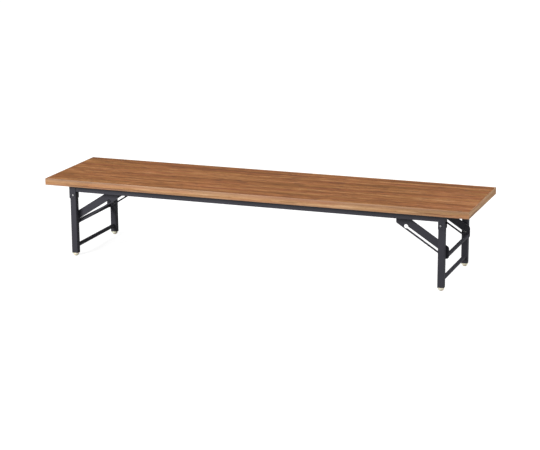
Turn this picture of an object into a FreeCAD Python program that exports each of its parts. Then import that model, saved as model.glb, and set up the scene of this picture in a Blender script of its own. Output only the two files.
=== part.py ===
"""Low folding table: a long wood-grain top on a steel under-frame with two folding leg frames.

Millimetres. The origin is the centre of the footprint on the floor, +X runs along the
length to the right, +Y to the rear, +Z up. The legs are drawn unfolded, as the table stands.
Each leg frame turns inward about the rivets of its hinge brackets. A slotted stay on each
leg turns on the rail and runs along a headed pin in the leg, and a release bar joins the
two stays of a leg frame.
"""

import FreeCAD, Part
import os
import Sketcher

doc = FreeCAD.newDocument("folding_low_table")

# Driving dimensions. Every other place or size is worked out from them in PLACES.
DIMENSIONS = {
    # table top: a core board between two sheets, with a band on each edge
    "table_height": 330.0,
    "top_length": 1800.0,
    "top_width": 450.0,
    "top_thickness": 28.0,
    "laminate_thickness": 1.0,
    "backing_thickness": 1.0,
    "band_thickness": 2.0,
    "band_round": 1.4,
    # under-frame of folded channels, open side down
    "channel_height": 25.4,
    "channel_wall": 1.6,
    "channel_bend": 2.4,
    "rail_end_reach": 13.2,
    "cross_member_reach": 54.0,
    # leg frames of square tube
    "leg_end_inset": 113.6,
    "leg_edge_inset": 37.0,
    "leg_width": 26.0,
    "leg_wall": 1.2,
    "leg_corner": 2.4,
    "leg_head": 7.0,
    "leg_side_play": 0.5,
    "crossbar_height": 41.7,
    "crossbar_diameter": 16.0,
    "crossbar_wall": 1.2,
    # moulded feet
    "foot_height": 14.0,
    "foot_flange": 2.5,
    "foot_diameter": 24.0,
    "foot_belly_height": 11.0,
    "foot_plug_height": 12.0,
    "foot_plug_play": 0.1,
    # hinge brackets, folded round the ends of the rails
    "plate_thickness": 2.3,
    "plate_bend": 2.0,
    "ear_drop": 55.0,
    "ear_inner_reach": 13.4,
    "ear_bevel": 4.0,
    # pivots
    "pivot_lean": 2.4,
    "pivot_drop": 40.5,
    "rivet_diameter": 8.0,
    "rivet_play": 0.08,
    "rivet_head_diameter": 13.6,
    "rivet_collar_height": 1.3,
    "rivet_button_diameter": 7.6,
    "rivet_button_height": 1.3,
    "tail_head_diameter": 12.0,
    "tail_head_height": 1.6,
    "head_taper": 0.7,
    "sleeve_diameter": 12.0,
    # slotted stays
    "stay_thickness": 3.2,
    "stay_clearance": 2.3,
    "stay_pivot_reach": 170.0,
    "stay_pivot_drop": 18.0,
    "stay_back": 35.5,
    "stay_lip": 11.0,
    "stay_nose": 17.4,
    "stay_nose_round": 14.0,
    "stay_heel_round": 8.0,
    "stay_overhang": 23.6,
    "stay_shoulder_round": 12.0,
    "stay_tip_round": 10.0,
    "slot_offset": 24.5,
    "slot_width": 9.0,
    "slot_end_play": 0.3,
    "notch_rise": 6.0,
    "keyhole_reach": 42.8,
    "keyhole_diameter": 17.0,
    "release_bar_diameter": 16.0,
    "release_bar_wall": 1.2,
    # pins that the slots run on
    "pin_drop": 117.7,
    "pin_diameter": 8.0,
    "pin_head_diameter": 13.0,
    "pin_head_height": 2.4,
    "pin_gap": 0.3,
    "spacer_diameter": 14.0,
    "seat_play": 0.2,
    # wood screws through the channels into the core
    "screw_end_inset": 99.6,
    "cross_screw_reach": 90.0,
    "screw_diameter": 4.2,
    "screw_hole_diameter": 5.0,
    "screw_head_diameter": 8.4,
    "screw_head_height": 2.2,
    "screw_bite": 13.0,
    # how far a cutting tool runs past what it cuts
    "overrun": 1.0,
}

# Places worked out from the dimensions. Heights are above the floor, and a reach is
# measured from the table's middle, outwards along the length or the width.
PLACES = {
    "under": "dim.table_height - dim.top_thickness",
    "channel_floor": "dim.table_height - dim.top_thickness - dim.channel_height",
    "channel_half": "dim.leg_width / 2 + dim.leg_side_play",
    "leg_x": "dim.top_length / 2 - dim.leg_end_inset",
    "leg_y": "dim.top_width / 2 - dim.leg_edge_inset",
    "leg_face": "leg_y - dim.leg_width / 2",
    "rail_end": "leg_x + dim.rail_end_reach",
    "rail_inner": "leg_y - channel_half",
    "rail_outer": "leg_y + channel_half",
    "ear_inner": "rail_inner - dim.plate_thickness",
    "ear_outer": "rail_outer + dim.plate_thickness",
    "ear_foot": "under - dim.ear_drop",
    "pivot_x": "leg_x - dim.pivot_lean",
    "pivot_z": "under - dim.pivot_drop",
    "rivet_hole": "dim.rivet_diameter + 2 * dim.rivet_play",
    "stay_outer": "ear_inner - dim.stay_clearance",
    "stay_inner": "stay_outer - dim.stay_thickness",
    "hub_x": "pivot_x - dim.stay_pivot_reach",
    "hub_z": "under - dim.stay_pivot_drop",
    "pin_z": "pivot_z - dim.pin_drop",
    "cross_x": "hub_x - dim.cross_member_reach",
    "screw_pitch": "(rail_end - dim.screw_end_inset) / 3",
    "core_half_x": "dim.top_length / 2 - dim.band_thickness",
    "core_half_y": "dim.top_width / 2 - dim.band_thickness",
    # the stay's slope, from the hub to the pin, and the pin's place along the slot
    "hub_to_pin": "sqrt(pow(leg_x - hub_x; 2) + pow(hub_z - pin_z; 2))",
    "stay_slope": "atan2(hub_z - pin_z; leg_x - hub_x) - asin(dim.slot_offset / hub_to_pin)",
    "pin_reach": "sqrt(pow(hub_to_pin; 2) - pow(dim.slot_offset; 2))",
    "slot_end": "pin_reach + dim.pin_diameter / 2 + dim.slot_end_play - dim.slot_width / 2",
    "stay_top": "dim.stay_back - dim.slot_offset",
    "stay_bottom": "dim.slot_offset + dim.stay_lip",
    "stay_end": "leg_x + dim.stay_overhang - hub_x",
    "tip_x": "stay_end - dim.stay_tip_round",
    "tip_v": "dim.stay_tip_round - stay_bottom",
    "tip_u": "(tip_x - tip_v * sin(stay_slope)) / cos(stay_slope)",
    "bar_x": "hub_x + tip_x",
    "bar_z": "hub_z - tip_u * sin(stay_slope) + tip_v * cos(stay_slope)",
    # the belly of a foot is part of a ball, from its widest circle down to the floor
    "belly_radius": "dim.foot_diameter / 2",
    "belly_sweep": "asin(dim.foot_belly_height / belly_radius)",
}

SIDES = {"left": -1, "right": 1}
ROWS = {"front": -1, "rear": 1}
CORNERS = [(side, row) for side in SIDES for row in ROWS]
nodes = []


def fill_sheet(name, cells):
    """A spreadsheet with one named cell on each row."""
    sheet = doc.addObject("Spreadsheet::Sheet", name)
    for line, (alias, content) in enumerate(cells.items(), start=1):
        sheet.set(f"A{line}", alias)
        sheet.set(f"B{line}", content)
        sheet.setAlias(f"B{line}", alias)
        doc.recompute()
    return sheet


dim = fill_sheet("dim", {alias: str(value) for alias, value in DIMENSIONS.items()})
place = fill_sheet("place", {alias: "=" + formula for alias, formula in PLACES.items()})


def number(formula):
    """The value that a formula has now, which starts a sketch near its solved shape."""
    result = dim.evalExpression(formula)
    return result.Value if hasattr(result, "Value") else float(result)


def bind(item, **formulas):
    """Ties an object's properties to formulas; Base_x stands for Placement.Base.x."""
    for name, formula in formulas.items():
        path = "Placement.Base." + name[-1] if name.startswith("Base_") else name
        item.setExpression(path, str(formula))
    return item


def keep(item, label):
    """Names an object as one piece of the table."""
    item.Label = label
    nodes.append(item)
    return item


def add_body(name):
    """An empty part that sketches and features are added to."""
    return doc.addObject("PartDesign::Body", name)


def add_sketch(body, plane):
    """A sketch on one of the body's own origin planes."""
    sketch = body.newObject("Sketcher::SketchObject", body.Name + "_sketch")
    support = [item for item in body.Origin.OriginFeatures if item.Role == plane + "_Plane"]
    sketch.AttachmentSupport = [(support[0], "")]
    sketch.MapMode = "FlatFace"
    return sketch


def pin_point(sketch, geometry, point, x, y):
    """Holds a point of the sketch at two formulas, measured from the sketch's origin."""
    for kind, formula in (("DistanceX", x), ("DistanceY", y)):
        constraint = Sketcher.Constraint(kind, -1, 1, geometry, point, number(formula))
        index = sketch.addConstraint(constraint)
        sketch.setExpression(f"Constraints[{index}]", formula)


def draw_polygon(sketch, corners):
    """A closed outline of straight lines, each corner tied to its two formulas."""
    first = sketch.GeometryCount
    points = [FreeCAD.Vector(number(x), number(y), 0) for x, y in corners]
    for index, start in enumerate(points):
        end = points[(index + 1) % len(points)]
        sketch.addGeometry(Part.LineSegment(start, end), False)
    for index, (x, y) in enumerate(corners):
        following = first + (index + 1) % len(corners)
        sketch.addConstraint(Sketcher.Constraint("Coincident", first + index, 2, following, 1))
        pin_point(sketch, first + index, 1, x, y)


def draw_rectangle(sketch, x_low, x_high, y_low, y_high):
    """A rectangle between two formulas each way."""
    draw_polygon(sketch, [(x_low, y_low), (x_high, y_low), (x_high, y_high), (x_low, y_high)])


def draw_circle(sketch, x, y, diameter):
    """A circle with its centre and diameter tied to formulas."""
    centre = FreeCAD.Vector(number(x), number(y), 0)
    normal = FreeCAD.Vector(0, 0, 1)
    circle = Part.Circle(centre, normal, number(diameter) / 2)
    geometry = sketch.addGeometry(circle, False)
    pin_point(sketch, geometry, 3, x, y)
    constraint = Sketcher.Constraint("Diameter", geometry, number(diameter))
    index = sketch.addConstraint(constraint)
    sketch.setExpression(f"Constraints[{index}]", diameter)


def pad(body, sketch, length, symmetric=False):
    """Raises a sketch along its normal, or to both sides of its plane."""
    feature = body.newObject("PartDesign::Pad", body.Name + "_pad")
    feature.Profile = sketch
    if symmetric:
        feature.SideType = "Symmetric"
    feature.setExpression("Length", length)
    sketch.Visibility = False
    doc.recompute()
    return feature


def cut_through(body, sketch):
    """Cuts a sketch right through the body, both ways from its plane."""
    before = body.Shape.Volume
    feature = body.newObject("PartDesign::Pocket", body.Name + "_cut")
    feature.Profile = sketch
    feature.SideType = "Symmetric"
    feature.Type = "ThroughAll"
    doc.recompute()
    if not body.Shape.Volume < before:
        raise RuntimeError(f"a cut in {body.Name} takes nothing away")
    return feature


def cut_to_depth(body, sketch, depth, along_normal):
    """Cuts a sketch to a depth from its plane, along its normal or against it."""
    before = body.Shape.Volume
    feature = body.newObject("PartDesign::Pocket", body.Name + "_cut")
    feature.Profile = sketch
    feature.Reversed = along_normal
    feature.setExpression("Length", depth)
    doc.recompute()
    if not body.Shape.Volume < before:
        raise RuntimeError(f"a cut in {body.Name} takes nothing away")
    return feature


def round_edges(body, feature, wanted, radius):
    """Rounds the edges of a feature that the test picks out."""
    picked = [f"Edge{i}" for i, edge in enumerate(feature.Shape.Edges, start=1) if wanted(edge)]
    if not picked:
        raise RuntimeError(f"no edge of {body.Name} was found to round")
    fillet = body.newObject("PartDesign::Fillet", body.Name + "_round")
    fillet.Base = (feature, picked)
    fillet.setExpression("Radius", radius)
    doc.recompute()
    return fillet


def runs_along(edge, axis):
    """True for a straight edge parallel to an axis, 0 to 2 for X to Z."""
    if edge.Curve.TypeId != "Part::GeomLine":
        return False
    ends = [vertex.Point for vertex in edge.Vertexes]
    return all(abs(ends[0][i] - ends[1][i]) < NEAR for i in range(3) if i != axis)


def lies_at(edge, axis, value):
    """True for an edge whose middle has this coordinate."""
    return abs(edge.CenterOfMass[axis] - value) < NEAR


NEAR = 1e-4


def add_box(name, x_low, x_high, y_low, y_high, z_low, z_high):
    """A box between two formulas each way."""
    item = doc.addObject("Part::Box", name)
    bind(item, Length=f"({x_high}) - ({x_low})", Width=f"({y_high}) - ({y_low})")
    bind(item, Height=f"({z_high}) - ({z_low})", Base_x=x_low, Base_y=y_low, Base_z=z_low)
    return item


def add_upright(name, diameter, x, y, z_low, z_high):
    """A round bar that stands upright."""
    item = doc.addObject("Part::Cylinder", name)
    bind(item, Radius=f"({diameter}) / 2", Height=f"({z_high}) - ({z_low})")
    return bind(item, Base_x=x, Base_y=y, Base_z=z_low)


def turn_to_y(item, row):
    """Turns an object that was made along Z so that it points outwards in its row."""
    spin = FreeCAD.Rotation(FreeCAD.Vector(1, 0, 0), -90 * row)
    item.Placement = FreeCAD.Placement(FreeCAD.Vector(), spin)


def add_rod(name, row, diameter, x, z, inner, outer):
    """A round bar across the table, between two reaches from its middle line."""
    item = doc.addObject("Part::Cylinder", name)
    turn_to_y(item, row)
    bind(item, Radius=f"({diameter}) / 2", Height=f"({outer}) - ({inner})")
    return bind(item, Base_x=x, Base_y=f"{row} * ({inner})", Base_z=z)


def add_head(name, row, diameter, height, x, z, face, outwards=True):
    """A rivet's pressed head, which tapers away from a face across the table."""
    item = doc.addObject("Part::Cone", name)
    turn_to_y(item, row if outwards else -row)
    base = f"({diameter}) / 2"
    bind(item, Radius1=base, Radius2=f"dim.head_taper * {base}", Height=height)
    return bind(item, Base_x=x, Base_y=f"{row} * ({face})", Base_z=z)


def fuse(name, parts):
    """One solid made of parts that meet."""
    item = doc.addObject("Part::MultiFuse", name)
    item.Shapes = parts
    return item


def cut(name, base, tool):
    """What is left of the base once the tool is taken away."""
    item = doc.addObject("Part::Cut", name)
    item.Base = base
    item.Tool = tool
    return item


def group(name, parts):
    """Like pieces that share one name and stay separate solids."""
    item = doc.addObject("Part::Compound", name)
    item.Links = parts
    return item


def add_tube(name, row, diameter, bore, x, z, inner, outer):
    """A round tube across the table, between two reaches from its middle line."""
    wall = add_rod(name + "_wall", row, diameter, x, z, inner, outer)
    hole_inner = f"({inner}) - dim.overrun"
    hole_outer = f"({outer}) + dim.overrun"
    hole = add_rod(name + "_hole", row, bore, x, z, hole_inner, hole_outer)
    return cut(name, wall, hole)


# Table top

RAIL_SCREW_STEPS = (-3, -1, 1, 3)


def screw_places():
    """The middle of each wood screw, as two formulas: four a rail, two a cross-member."""
    for row in ROWS.values():
        for step in RAIL_SCREW_STEPS:
            yield f"{step} * place.screw_pitch", f"{row} * place.leg_y"
    for step in (-1, 0, 1):
        for row in ROWS.values():
            yield f"{step} * place.cross_x", f"{row} * dim.cross_screw_reach"


def make_screws():
    """Pan-head wood screws: head under the channel's web, shank up into the core."""
    web = "place.under - dim.channel_wall"
    tip = "place.under + dim.screw_bite"
    screws = []
    for count, (x, y) in enumerate(screw_places()):
        shank = add_upright(f"screw_shank_{count}", "dim.screw_diameter", x, y, web, tip)
        low = f"{web} - dim.screw_head_height"
        head = add_upright(f"screw_head_{count}", "dim.screw_head_diameter", x, y, low, web)
        screws.append(fuse(f"screw_{count}", [shank, head]))
    keep(group("screws", screws), "frame_screws")


def make_board(label, low, high):
    """A sheet of the top, as long and wide as the core, between two heights."""
    half_x = "place.core_half_x"
    half_y = "place.core_half_y"
    return add_box(label, "-" + half_x, half_x, "-" + half_y, half_y, low, high)


def make_top():
    """The core board, the sheet on each face of it and the four edge bands."""
    core_low = "place.under + dim.backing_thickness"
    core_high = "dim.table_height - dim.laminate_thickness"
    keep(make_board("laminate", core_high, "dim.table_height"), "top_laminate")
    for label, low, high in (
        ("backing_sheet", "place.under", core_low),
        ("core_board", core_low, core_high),
    ):
        tip = "place.under + dim.screw_bite"
        pilots = []
        for count, (x, y) in enumerate(screw_places()):
            name = f"{label}_pilot_{count}"
            start = "place.under - dim.overrun"
            pilots.append(add_upright(name, "dim.screw_diameter", x, y, start, tip))
        blank = make_board(label + "_blank", low, high)
        keep(cut(label, blank, group(label + "_pilots", pilots)), label)
    for name, row in ROWS.items():
        make_long_band(f"edge_band_{name}", row)
    for name, side in SIDES.items():
        make_end_band(f"edge_band_{name}", side)


def make_long_band(label, row):
    """A band on a long edge; its two outer edges and its corners are rounded over."""
    body = add_body(label)
    sketch = add_sketch(body, "YZ")
    outer = f"{row} * dim.top_width / 2"
    inner = f"{row} * place.core_half_y"
    draw_rectangle(sketch, inner, outer, "place.under", "dim.table_height")
    strip = pad(body, sketch, "dim.top_length", symmetric=True)
    face = number(outer)

    def on_outside(edge):
        long_edge = runs_along(edge, 0) or runs_along(edge, 2)
        return long_edge and lies_at(edge, 1, face)

    round_edges(body, strip, on_outside, "dim.band_round")
    keep(body, label)


def make_end_band(label, side):
    """A band on a short edge, between the two long ones."""
    body = add_body(label)
    sketch = add_sketch(body, "XZ")
    outer = f"{side} * dim.top_length / 2"
    inner = f"{side} * place.core_half_x"
    draw_rectangle(sketch, inner, outer, "place.under", "dim.table_height")
    strip = pad(body, sketch, "2 * place.core_half_y", symmetric=True)
    face = number(outer)

    def on_outside(edge):
        return runs_along(edge, 1) and lies_at(edge, 0, face)

    round_edges(body, strip, on_outside, "dim.band_round")
    keep(body, label)


# Under-frame


def draw_channel(sketch, low, high):
    """The section of a folded channel between two formulas, its open side down."""
    wall = "dim.channel_wall"
    foot = "place.channel_floor"
    web = f"place.under - {wall}"
    draw_polygon(
        sketch,
        [
            (low, foot),
            (f"{low} + {wall}", foot),
            (f"{low} + {wall}", web),
            (f"{high} - {wall}", web),
            (f"{high} - {wall}", foot),
            (high, foot),
            (high, "place.under"),
            (low, "place.under"),
        ],
    )


def bend_channel(body, blank, axis):
    """Rounds a channel's two folds along its axis, outside and inside, about one centre."""
    under = number("place.under")
    web = number("place.under - dim.channel_wall")

    def outside(edge):
        return runs_along(edge, axis) and lies_at(edge, 2, under)

    def inside(edge):
        return runs_along(edge, axis) and lies_at(edge, 2, web)

    shape = round_edges(body, blank, outside, "dim.channel_bend")
    round_edges(body, shape, inside, "dim.channel_bend - dim.channel_wall")


def make_rail(label, row):
    """A long channel over a row of legs, with screw holes and the holes of the stay rivets."""
    body = add_body(label)
    section = add_sketch(body, "YZ")
    edges = (f"{row} * place.leg_y - place.channel_half", f"{row} * place.leg_y + place.channel_half")
    draw_channel(section, *edges)
    blank = pad(body, section, "2 * place.rail_end", symmetric=True)
    bend_channel(body, blank, 0)
    holes = add_sketch(body, "XY")
    for step in RAIL_SCREW_STEPS:
        x = f"{step} * place.screw_pitch"
        draw_circle(holes, x, f"{row} * place.leg_y", "dim.screw_hole_diameter")
    cut_through(body, holes)
    rivets = add_sketch(body, "XZ")
    for side in SIDES.values():
        draw_circle(rivets, f"{side} * place.hub_x", "place.hub_z", "place.rivet_hole")
    depth = "place.rail_inner + dim.channel_wall + dim.overrun"
    cut_to_depth(body, rivets, depth, along_normal=row < 0)
    keep(body, label)


def make_cross_member(label, step):
    """A channel across the frame, butted against both rails."""
    body = add_body(label)
    section = add_sketch(body, "XZ")
    middle = f"{step} * place.cross_x"
    draw_channel(section, f"{middle} - place.channel_half", f"{middle} + place.channel_half")
    blank = pad(body, section, "2 * place.rail_inner", symmetric=True)
    bend_channel(body, blank, 1)
    holes = add_sketch(body, "XY")
    for row in ROWS.values():
        draw_circle(holes, middle, f"{row} * dim.cross_screw_reach", "dim.screw_hole_diameter")
    cut_through(body, holes)
    keep(body, label)


def make_hinge_bracket(label, side, row):
    """One plate folded round the rail's end, with two ears that take the leg between them."""
    body = add_body(label)
    bind(body, Base_z="place.ear_foot")
    plan = add_sketch(body, "XY")
    tip = f"{side} * (place.leg_x - dim.ear_inner_reach)"
    web = f"{side} * place.rail_end"
    back = f"{side} * (place.rail_end + dim.plate_thickness)"
    inner = f"{row} * place.ear_inner"
    inner_face = f"{row} * place.rail_inner"
    outer = f"{row} * place.ear_outer"
    outer_face = f"{row} * place.rail_outer"
    draw_polygon(
        plan,
        [
            (tip, inner),
            (back, inner),
            (back, outer),
            (tip, outer),
            (tip, outer_face),
            (web, outer_face),
            (web, inner_face),
            (tip, inner_face),
        ],
    )
    plate = pad(body, plan, "dim.ear_drop")
    bend = number(back)
    round_edges(
        body, plate, lambda edge: runs_along(edge, 2) and lies_at(edge, 0, bend), "dim.plate_bend"
    )
    window = add_sketch(body, "YZ")
    below_rail = "dim.ear_drop - dim.channel_height"
    draw_rectangle(window, inner_face, outer_face, "-dim.overrun", below_rail)
    cut_through(body, window)
    bevel = add_sketch(body, "XZ")
    start = f"{side} * (place.rail_end + dim.plate_thickness - dim.ear_bevel)"
    past = f"{side} * (place.rail_end + dim.plate_thickness + dim.overrun)"
    draw_polygon(
        bevel,
        [
            (f"{start} - {side} * dim.overrun", "-dim.overrun"),
            (past, "-dim.overrun"),
            (past, "dim.ear_bevel + dim.overrun"),
        ],
    )
    cut_through(body, bevel)
    hole = add_sketch(body, "XZ")
    draw_circle(hole, f"{side} * place.pivot_x", "place.pivot_z - place.ear_foot", "place.rivet_hole")
    cut_through(body, hole)
    keep(body, label)


def add_button_head(name, row, x, z, face, outwards=True):
    """A rivet's shown head: a flat collar with a small raised button in its middle."""
    way = 1 if outwards else -1
    collar_face = f"({face}) + {way} * dim.rivet_collar_height"
    button_face = f"{collar_face} + {way} * dim.rivet_button_height"
    ends = (face, collar_face) if outwards else (collar_face, face)
    collar = add_rod(name + "_collar", row, "dim.rivet_head_diameter", x, z, *ends)
    ends = (collar_face, button_face) if outwards else (button_face, collar_face)
    button = add_rod(name + "_button", row, "dim.rivet_button_diameter", x, z, *ends)
    return [collar, button]


def make_rivet(name, side, row, x, z, inner, outer, shown_outwards):
    """A shank across the table, with its shown head at one end and a pressed tail at the other."""
    at = (f"{side} * {x}", z)
    head_face, tail_face = (outer, inner) if shown_outwards else (inner, outer)
    shank = add_rod(name + "_shank", row, "dim.rivet_diameter", *at, inner, outer)
    head = add_button_head(name, row, *at, head_face, shown_outwards)
    tail_size = ("dim.tail_head_diameter", "dim.tail_head_height")
    tail = add_head(name + "_tail", row, *tail_size, *at, tail_face, not shown_outwards)
    return fuse(name, [shank, *head, tail])


def make_frame_rivets():
    """The leg pivots through the bracket ears, the stay pivots through the rails, and spacers."""
    leg_rivets, stay_rivets, spacers = [], [], []
    head_seat = "place.stay_inner - dim.seat_play"
    tail_seat = "place.rail_inner + dim.channel_wall"
    for side_name, row_name in CORNERS:
        side, row = SIDES[side_name], ROWS[row_name]
        tag = f"{row_name}_{side_name}"
        leg_rivets.append(
            make_rivet(
                f"leg_rivet_{tag}", side, row, "place.pivot_x", "place.pivot_z",
                "place.ear_inner", "place.ear_outer", shown_outwards=True,
            )
        )
        stay_rivets.append(
            make_rivet(
                f"stay_rivet_{tag}", side, row, "place.hub_x", "place.hub_z",
                head_seat, tail_seat, shown_outwards=False,
            )
        )
        spacers.append(
            add_tube(
                f"stay_spacer_{tag}", row, "dim.spacer_diameter", "place.rivet_hole",
                f"{side} * place.hub_x", "place.hub_z",
                "place.stay_outer + dim.seat_play", "place.rail_inner",
            )
        )
    keep(group("leg_rivet_group", leg_rivets), "leg_pivot_rivets")
    keep(group("stay_rivet_group", stay_rivets), "stay_pivot_rivets")
    keep(group("stay_spacer_group", spacers), "stay_pivot_spacers")


# Leg frames


def make_leg_post(label, side, row):
    """A square tube with rounded corners, open at the top, bored for the pivot sleeve."""
    body = add_body(label)
    bind(body, Base_z="dim.foot_height")
    section = add_sketch(body, "XY")
    for half in ("dim.leg_width / 2", "(dim.leg_width / 2 - dim.leg_wall)"):
        draw_rectangle(
            section,
            f"{side} * place.leg_x - {half}",
            f"{side} * place.leg_x + {half}",
            f"{row} * place.leg_y - {half}",
            f"{row} * place.leg_y + {half}",
        )
    tube = pad(body, section, "place.pivot_z + dim.leg_head - dim.foot_height")
    outside = number(f"{side} * place.leg_x")
    reach = number("dim.leg_width / 2")

    def on_corner(edge):
        return runs_along(edge, 2) and abs(abs(edge.CenterOfMass[0] - outside) - reach) < NEAR

    def in_corner(edge):
        middle = abs(edge.CenterOfMass[0] - outside)
        return runs_along(edge, 2) and abs(middle - reach + number("dim.leg_wall")) < NEAR

    outer = round_edges(body, tube, on_corner, "dim.leg_corner")
    round_edges(body, outer, in_corner, "dim.leg_corner - dim.leg_wall")
    hole = add_sketch(body, "XZ")
    height = "place.pivot_z - dim.foot_height"
    draw_circle(hole, f"{side} * place.pivot_x", height, "dim.sleeve_diameter")
    cut_through(body, hole)
    keep(body, label)


def make_foot(label, side, row):
    """A moulded foot: a plug inside the tube, a flange under it and a rounded belly to stand on."""
    x = f"{side} * place.leg_x"
    y = f"{row} * place.leg_y"
    flange_low = "dim.foot_height - dim.foot_flange"
    body = add_body(label + "_cap")
    bind(body, Base_x=x, Base_y=y, Base_z=flange_low)
    square = add_sketch(body, "XY")
    half = "dim.leg_width / 2"
    draw_rectangle(square, "-" + half, half, "-" + half, half)
    flange = pad(body, square, "dim.foot_flange")
    round_edges(body, flange, lambda edge: runs_along(edge, 2), "dim.leg_corner")
    plug_section = add_sketch(body, "XY")
    plug_half = "(dim.leg_width / 2 - dim.leg_wall - dim.foot_plug_play)"
    draw_rectangle(plug_section, "-" + plug_half, plug_half, "-" + plug_half, plug_half)
    plug = pad(body, plug_section, "dim.foot_flange + dim.foot_plug_height")
    plug_reach = number(plug_half)

    def on_plug(edge):
        return runs_along(edge, 2) and abs(abs(edge.CenterOfMass[0]) - plug_reach) < NEAR

    round_edges(body, plug, on_plug, "dim.leg_corner - dim.leg_wall")
    neck = add_upright(
        label + "_neck", "dim.foot_diameter", x, y, "dim.foot_belly_height", flange_low
    )
    keep(fuse(label, [body, neck, *make_belly(label, x, y)]), label)


BELLY_BANDS = 4


def make_belly(label, x, y):
    """The rounded underside of a foot, in sloping bands whose circles lie on one ball."""
    bands = []
    for band in range(BELLY_BANDS):
        upper = f"place.belly_sweep * {band} / {BELLY_BANDS}"
        lower = f"place.belly_sweep * {band + 1} / {BELLY_BANDS}"
        item = doc.addObject("Part::Cone", f"{label}_band_{band}")
        bind(item, Radius1=f"place.belly_radius * cos({lower})")
        bind(item, Radius2=f"place.belly_radius * cos({upper})")
        bind(item, Height=f"place.belly_radius * (sin({lower}) - sin({upper}))")
        low = f"dim.foot_belly_height - place.belly_radius * sin({lower})"
        bands.append(bind(item, Base_x=x, Base_y=y, Base_z=low))
    return bands


def make_leg_frame(side_name):
    """Two posts with feet, the low crossbar between them and the sleeves that they turn on."""
    side = SIDES[side_name]
    for row_name, row in ROWS.items():
        make_leg_post(f"leg_post_{row_name}_{side_name}", side, row)
        make_foot(f"foot_{row_name}_{side_name}", side, row)
    sleeves = []
    for row_name, row in ROWS.items():
        name = f"sleeve_{row_name}_{side_name}"
        ends = ("place.leg_face", "place.leg_face + dim.leg_width")
        at = (f"{side} * place.pivot_x", "place.pivot_z")
        sleeves.append(add_tube(name, row, "dim.sleeve_diameter", "place.rivet_hole", *at, *ends))
    keep(group(f"sleeve_group_{side_name}", sleeves), f"leg_pivot_sleeves_{side_name}")
    bore = "dim.crossbar_diameter - 2 * dim.crossbar_wall"
    at = (f"{side} * place.leg_x", "dim.crossbar_height")
    ends = ("-place.leg_face", "place.leg_face")
    name = f"leg_crossbar_{side_name}"
    keep(add_tube(name, 1, "dim.crossbar_diameter", bore, *at, *ends), name)


# Stays


def upright_cut(side, reach, v):
    """Where an upright line at a reach from the hub crosses a height in the sloping plate."""
    return f"{side} * (({reach}) - ({v}) * sin(place.stay_slope)) / cos(place.stay_slope)"


def make_stay(label, side, row):
    """A slotted plate, drawn level with its hub at the origin and then tilted to its slope.

    Its two ends are cut upright as the table stands. The slot runs from the keyhole, where
    the pin's head goes in, to a notch that drops over the pin and locks the leg.
    """
    body = add_body(label)
    tilt = FreeCAD.Rotation(FreeCAD.Vector(0, 1, 0), 1)
    body.Placement = FreeCAD.Placement(FreeCAD.Vector(), tilt)
    body.setExpression("Placement.Rotation.Angle", f"{side} * place.stay_slope")
    front_face = "place.stay_outer" if row > 0 else "-place.stay_inner"
    bind(body, Base_x=f"{side} * place.hub_x", Base_y=front_face, Base_z="place.hub_z")

    top, bottom = "place.stay_top", "-place.stay_bottom"
    nose, end = "-dim.stay_nose", "place.stay_end"
    corners = [
        (upright_cut(side, nose, top), top),
        (upright_cut(side, nose, bottom), bottom),
        (upright_cut(side, end, bottom), bottom),
        (upright_cut(side, end, top), top),
    ]
    rounds = ("stay_nose_round", "stay_heel_round", "stay_tip_round", "stay_shoulder_round")
    outline = add_sketch(body, "XZ")
    draw_polygon(outline, corners)
    shape = pad(body, outline, "dim.stay_thickness")
    for (x, z), radius in zip(corners, rounds):
        corner_x, corner_z = number(x), number(z)
        shape = round_edges(
            body,
            shape,
            lambda edge: lies_at(edge, 0, corner_x) and lies_at(edge, 2, corner_z),
            "dim." + radius,
        )

    slot = add_sketch(body, "XZ")
    start, finish = f"{side} * dim.keyhole_reach", f"{side} * place.slot_end"
    low = "-(dim.slot_offset + dim.slot_width / 2)"
    high = "-(dim.slot_offset - dim.slot_width / 2)"
    draw_rectangle(slot, start, finish, low, high)
    cut_through(body, slot)
    notch = add_sketch(body, "XZ")
    half = "dim.slot_width / 2"
    axis = "-dim.slot_offset"
    draw_rectangle(
        notch, f"{finish} - {half}", f"{finish} + {half}", axis, f"{axis} + dim.notch_rise"
    )
    cut_through(body, notch)
    holes = add_sketch(body, "XZ")
    draw_circle(holes, "0", "0", "place.rivet_hole")
    draw_circle(holes, start, axis, "dim.keyhole_diameter")
    draw_circle(holes, finish, axis, "dim.slot_width")
    cut_through(body, holes)
    crown = add_sketch(body, "XZ")
    draw_circle(crown, finish, f"{axis} + dim.notch_rise", "dim.slot_width")
    cut_through(body, crown)
    keep(body, label)


def make_stay_unit(side_name):
    """The two stays of a leg frame and the release bar welded between their outer ends."""
    side = SIDES[side_name]
    for row_name, row in ROWS.items():
        make_stay(f"stay_{row_name}_{side_name}", side, row)
    bore = "dim.release_bar_diameter - 2 * dim.release_bar_wall"
    at = (f"{side} * place.bar_x", "place.bar_z")
    ends = ("-place.stay_inner", "place.stay_inner")
    name = f"release_bar_{side_name}"
    keep(add_tube(name, 1, "dim.release_bar_diameter", bore, *at, *ends), name)


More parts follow.
